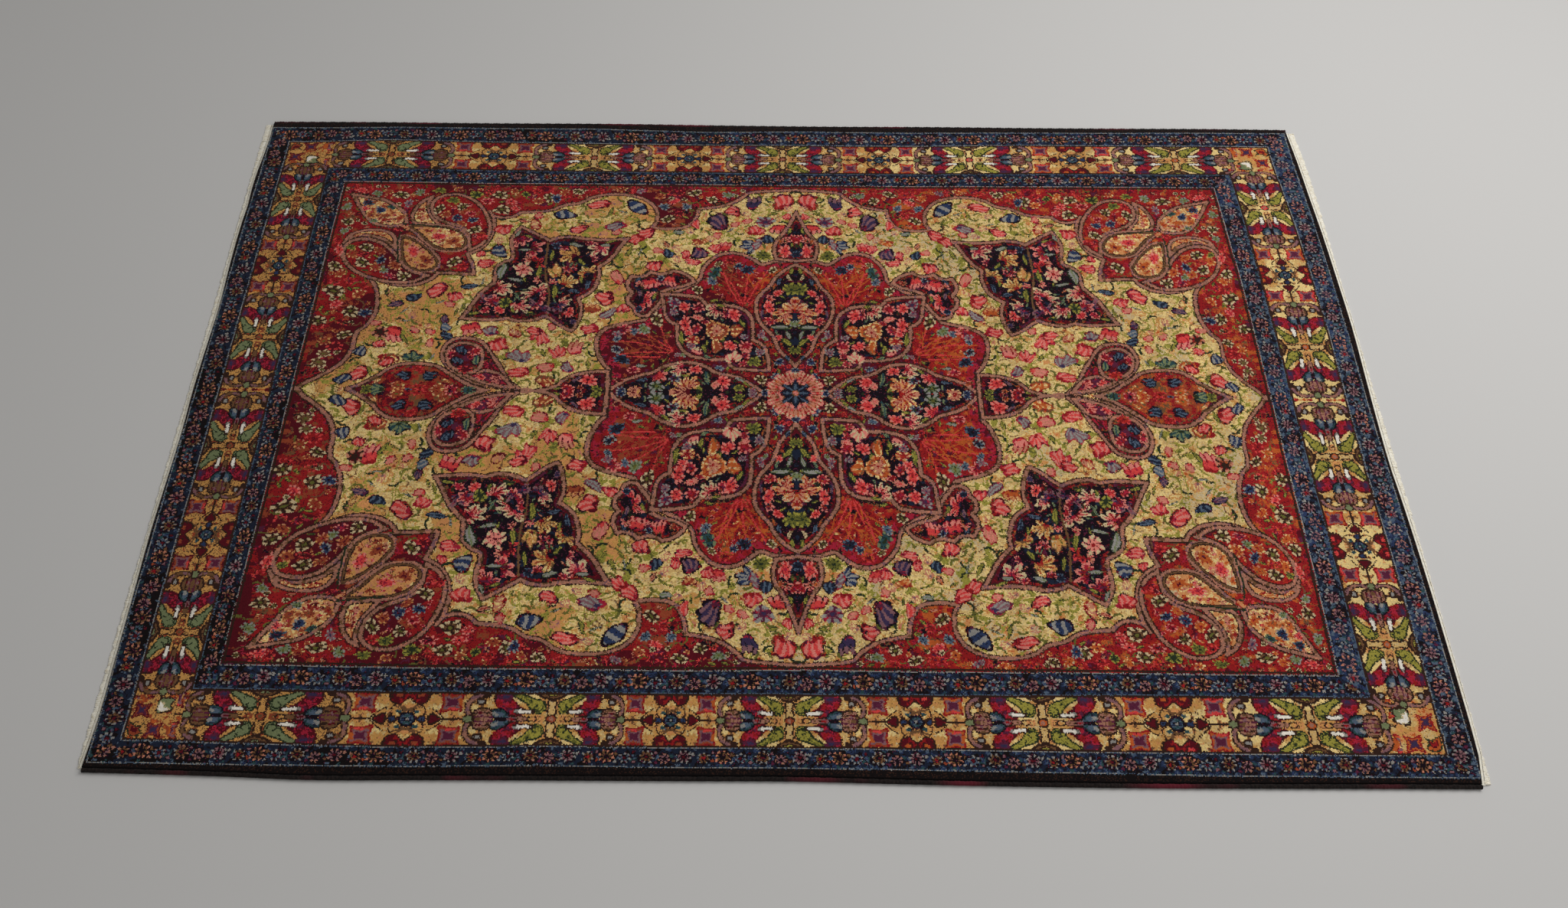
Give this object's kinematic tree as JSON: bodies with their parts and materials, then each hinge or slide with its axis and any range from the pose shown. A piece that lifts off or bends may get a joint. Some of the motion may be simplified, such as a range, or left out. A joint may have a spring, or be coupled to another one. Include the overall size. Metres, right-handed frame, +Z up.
{
  "type": "persian rug",
  "caption": "Knotted wool rug with a medallion field in three borders, overcast long edges and a short cotton fringe at each end.",
  "frame": {"origin": "middle of the underside, on the floor", "axes": "+X along the rug's length, +Y across it away from the front edge, +Z up through the pile"},
  "size_m": [2.0389, 1.3876, 0.008],
  "materials": {
    "wool_pile": "clipped knotted wool pile in gold, red, navy, olive and rose",
    "wool_cord": "dark brown wool overcasting",
    "cotton_fringe": "undyed cotton, flat woven with loose ends"
  },
  "bodies": {
    "root": {"rug_cloth": "wool_pile", "edge_cord_front": "wool_cord", "edge_cord_back": "wool_cord", "fringe_left": "cotton_fringe", "fringe_right": "cotton_fringe"}
  },
  "joints": []
}
